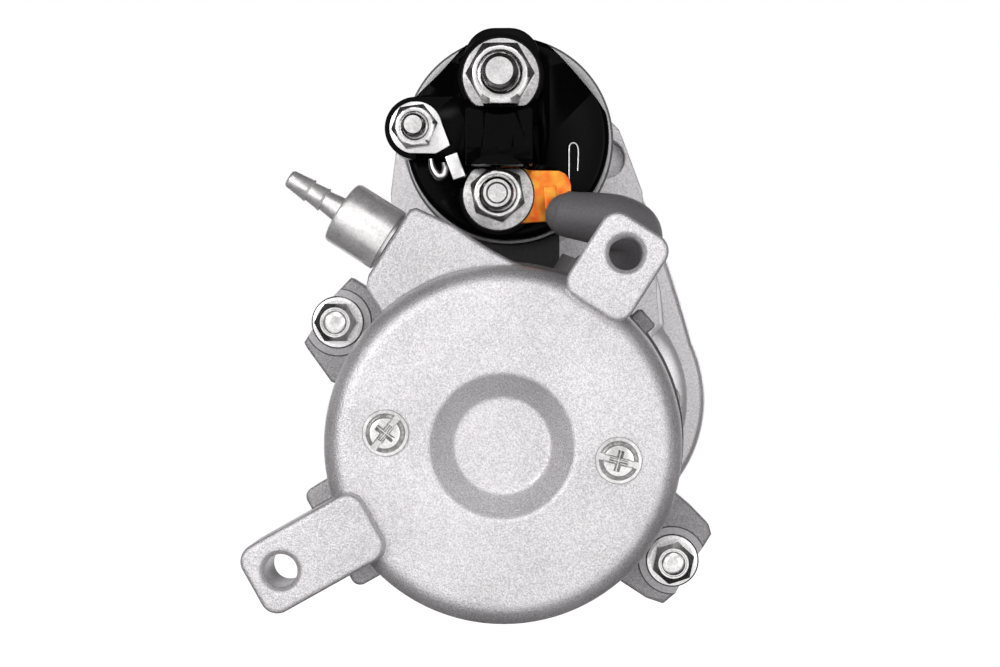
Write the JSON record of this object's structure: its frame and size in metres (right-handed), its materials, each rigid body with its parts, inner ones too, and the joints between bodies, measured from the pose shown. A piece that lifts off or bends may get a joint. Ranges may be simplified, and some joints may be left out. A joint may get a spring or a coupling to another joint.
{
  "type": "starter motor",
  "caption": "Planetary-reduction engine starter motor with a piggyback solenoid, shift lever, overrunning clutch and sliding drive pinion.",
  "frame": {"origin": "centre of the pilot at the mounting face", "axes": "+Y along the shaft towards the pinion, +Z from the shaft to the solenoid, +X to the right seen from the rear cover"},
  "size_m": [0.1035, 0.198, 0.1288],
  "materials": {
    "cast_cover": "sand-textured die casting",
    "cast_housing": "smooth die casting",
    "yoke_steel": "painted tube",
    "zinc_steel": "bright zinc",
    "machined_steel": "machined",
    "nickel_metal": "bright machined",
    "case_steel": "plated steel",
    "black_plastic": "moulded",
    "copper": "bare copper",
    "magnet": "ferrite",
    "laminations": "stacked steel",
    "carbon": "carbon",
    "bronze": "sintered",
    "brown_resin": "phenolic",
    "white_nylon": "glass-filled nylon",
    "grey_rubber": "boot",
    "black_rubber": "pad",
    "spring_steel": "drawn wire"
  },
  "bodies": {
    "housing": {"rear_cover": "cast_cover", "cover_screws": "zinc_steel", "through_bolts": "zinc_steel", "yoke": "yoke_steel", "field_magnets": "magnet", "brush_holder": "machined_steel", "brushes": "carbon", "brush_springs": "spring_steel", "rear_bearing_outer": "machined_steel", "ring_gear": "white_nylon", "partition_plate": "machined_steel", "centre_bracket": "cast_housing", "centre_bushing": "bronze", "lever_pivot_pin": "machined_steel", "solenoid_case": "case_steel", "coil_bobbin": "brown_resin", "coil_winding": "copper", "fixed_core": "machined_steel", "terminal_cap": "black_plastic", "main_terminal_studs": "zinc_steel", "terminal_50_stud": "zinc_steel", "main_terminal_washers": "zinc_steel", "terminal_30_nut": "zinc_steel", "motor_terminal_nut": "zinc_steel", "terminal_50_nut": "zinc_steel", "terminal_50_lug": "nickel_metal", "motor_lead_tab": "copper", "motor_lead_boot": "grey_rubber", "motor_lead_cable": "grey_rubber", "lead_grommet": "grey_rubber", "lead_clip": "spring_steel", "solenoid_saddle_pad": "black_rubber", "vent_fitting": "nickel_metal", "vent_nipple": "nickel_metal", "drive_housing": "cast_housing", "nose_bushing": "bronze", "solenoid_screws": "zinc_steel"},
    "armature": {"armature_shaft": "machined_steel", "armature_core": "laminations", "armature_windings": "copper", "commutator": "copper", "sun_gear": "machined_steel", "rear_bearing_inner": "machined_steel"},
    "output_shaft": {"drive_shaft": "machined_steel", "planet_pins": "machined_steel", "pinion_stop": "machined_steel"},
    "planet_1": {"planet_gear_1": "machined_steel"},
    "planet_2": {"planet_gear_2": "machined_steel"},
    "planet_3": {"planet_gear_3": "machined_steel"},
    "shift_collar": {"fork_ring": "white_nylon"},
    "clutch": {"clutch_barrel": "machined_steel", "clutch_rollers": "machined_steel"},
    "pinion_gear": {"pinion": "machined_steel"},
    "lever": {"shift_lever": "white_nylon"},
    "plunger": {"plunger": "machined_steel", "return_spring": "spring_steel"},
    "contact": {"contact_rod": "machined_steel", "contact_disc": "copper", "contact_spring": "spring_steel"}
  },
  "joints": [
    {"name": "plunger_slide", "type": "slide", "parent": "housing", "child": "plunger", "axis": [0, -1, 0], "range_m": [0, 0.01], "stiffness_N_per_m": 2500, "springref_m": -0.006, "deforming": ["return_spring"]},
    {"name": "lever_pivot", "type": "hinge", "parent": "housing", "child": "lever", "pos_m": [0, -0.015, 0.037], "axis": [1, 0, 0], "range_deg": [0, 19.7]},
    {"name": "armature_spin", "type": "hinge", "parent": "housing", "child": "armature", "pos_m": [0, -0.09, 0], "axis": [0, 1, 0], "continuous": true},
    {"name": "output_shaft_spin", "type": "hinge", "parent": "housing", "child": "output_shaft", "pos_m": [0, 0, 0], "axis": [0, 1, 0], "continuous": true},
    {"name": "collar_slide", "type": "slide", "parent": "output_shaft", "child": "shift_collar", "axis": [0, 1, 0], "range_m": [0, 0.01272]},
    {"name": "clutch_twist", "type": "hinge", "parent": "shift_collar", "child": "clutch", "pos_m": [0, -0.01, 0], "axis": [0, 1, 0], "range_deg": [0, 49.8]},
    {"name": "pinion_overrun", "type": "hinge", "parent": "clutch", "child": "pinion_gear", "pos_m": [0, 0.017, 0], "axis": [0, 1, 0], "continuous": true},
    {"name": "contact_slide", "type": "slide", "parent": "housing", "child": "contact", "axis": [0, -1, 0], "range_m": [0, 0.0025], "deforming": ["contact_spring"]},
    {"name": "planet_1_spin", "type": "hinge", "parent": "output_shaft", "child": "planet_1", "pos_m": [0, -0.05, 0.018], "axis": [0, 1, 0], "continuous": true},
    {"name": "planet_2_spin", "type": "hinge", "parent": "output_shaft", "child": "planet_2", "pos_m": [-0.01559, -0.05, -0.009], "axis": [0, 1, 0], "continuous": true},
    {"name": "planet_3_spin", "type": "hinge", "parent": "output_shaft", "child": "planet_3", "pos_m": [0.01559, -0.05, -0.009], "axis": [0, 1, 0], "continuous": true}
  ],
  "couplings": [
    {"joint": "lever_pivot", "follows": "plunger_slide", "rad_per_m": 34.349},
    {"joint": "collar_slide", "follows": "plunger_slide", "ratio": 1.2715},
    {"joint": "clutch_twist", "follows": "plunger_slide", "rad_per_m": 86.838},
    {"joint": "contact_slide", "follows": "plunger_slide", "ratio": 0.25},
    {"joint": "output_shaft_spin", "follows": "armature_spin", "ratio": 0.22917},
    {"joint": "planet_1_spin", "follows": "armature_spin", "ratio": -0.65224},
    {"joint": "planet_2_spin", "follows": "armature_spin", "ratio": -0.65224},
    {"joint": "planet_3_spin", "follows": "armature_spin", "ratio": -0.65224}
  ]
}
